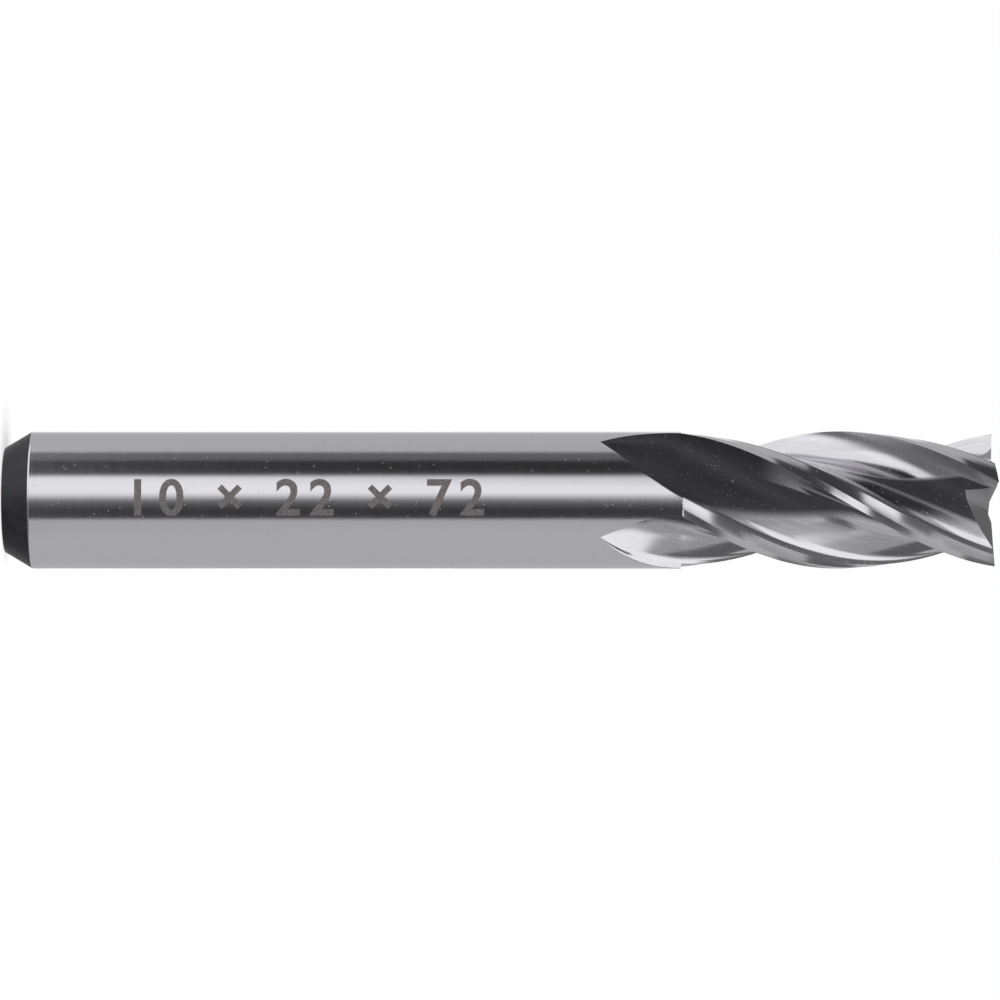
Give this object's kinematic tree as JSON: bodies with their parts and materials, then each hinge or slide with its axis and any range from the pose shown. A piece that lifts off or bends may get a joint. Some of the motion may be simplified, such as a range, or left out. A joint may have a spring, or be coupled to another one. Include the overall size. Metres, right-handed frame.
{
  "type": "end mill",
  "caption": "Straight-shank end mill with right-hand helical flutes, relieved cutting edges, gashed end teeth and a chamfered plain round shank.",
  "frame": {"origin": "centre of the flat face at the shank's end, on the tool's axis", "axes": "+Z along the tool's axis from the shank's end to the end teeth; the teeth cut towards +angle about +Z, and one tooth's corner lies 15 degrees below +X at the tip"},
  "size_m": [0.01, 0.01, 0.072],
  "materials": {
    "ground_steel": "ground high speed steel, with black heat-treatment scale on the shank's chamfer and end face"
  },
  "bodies": {
    "root": {"end_mill": "ground_steel"}
  },
  "joints": []
}
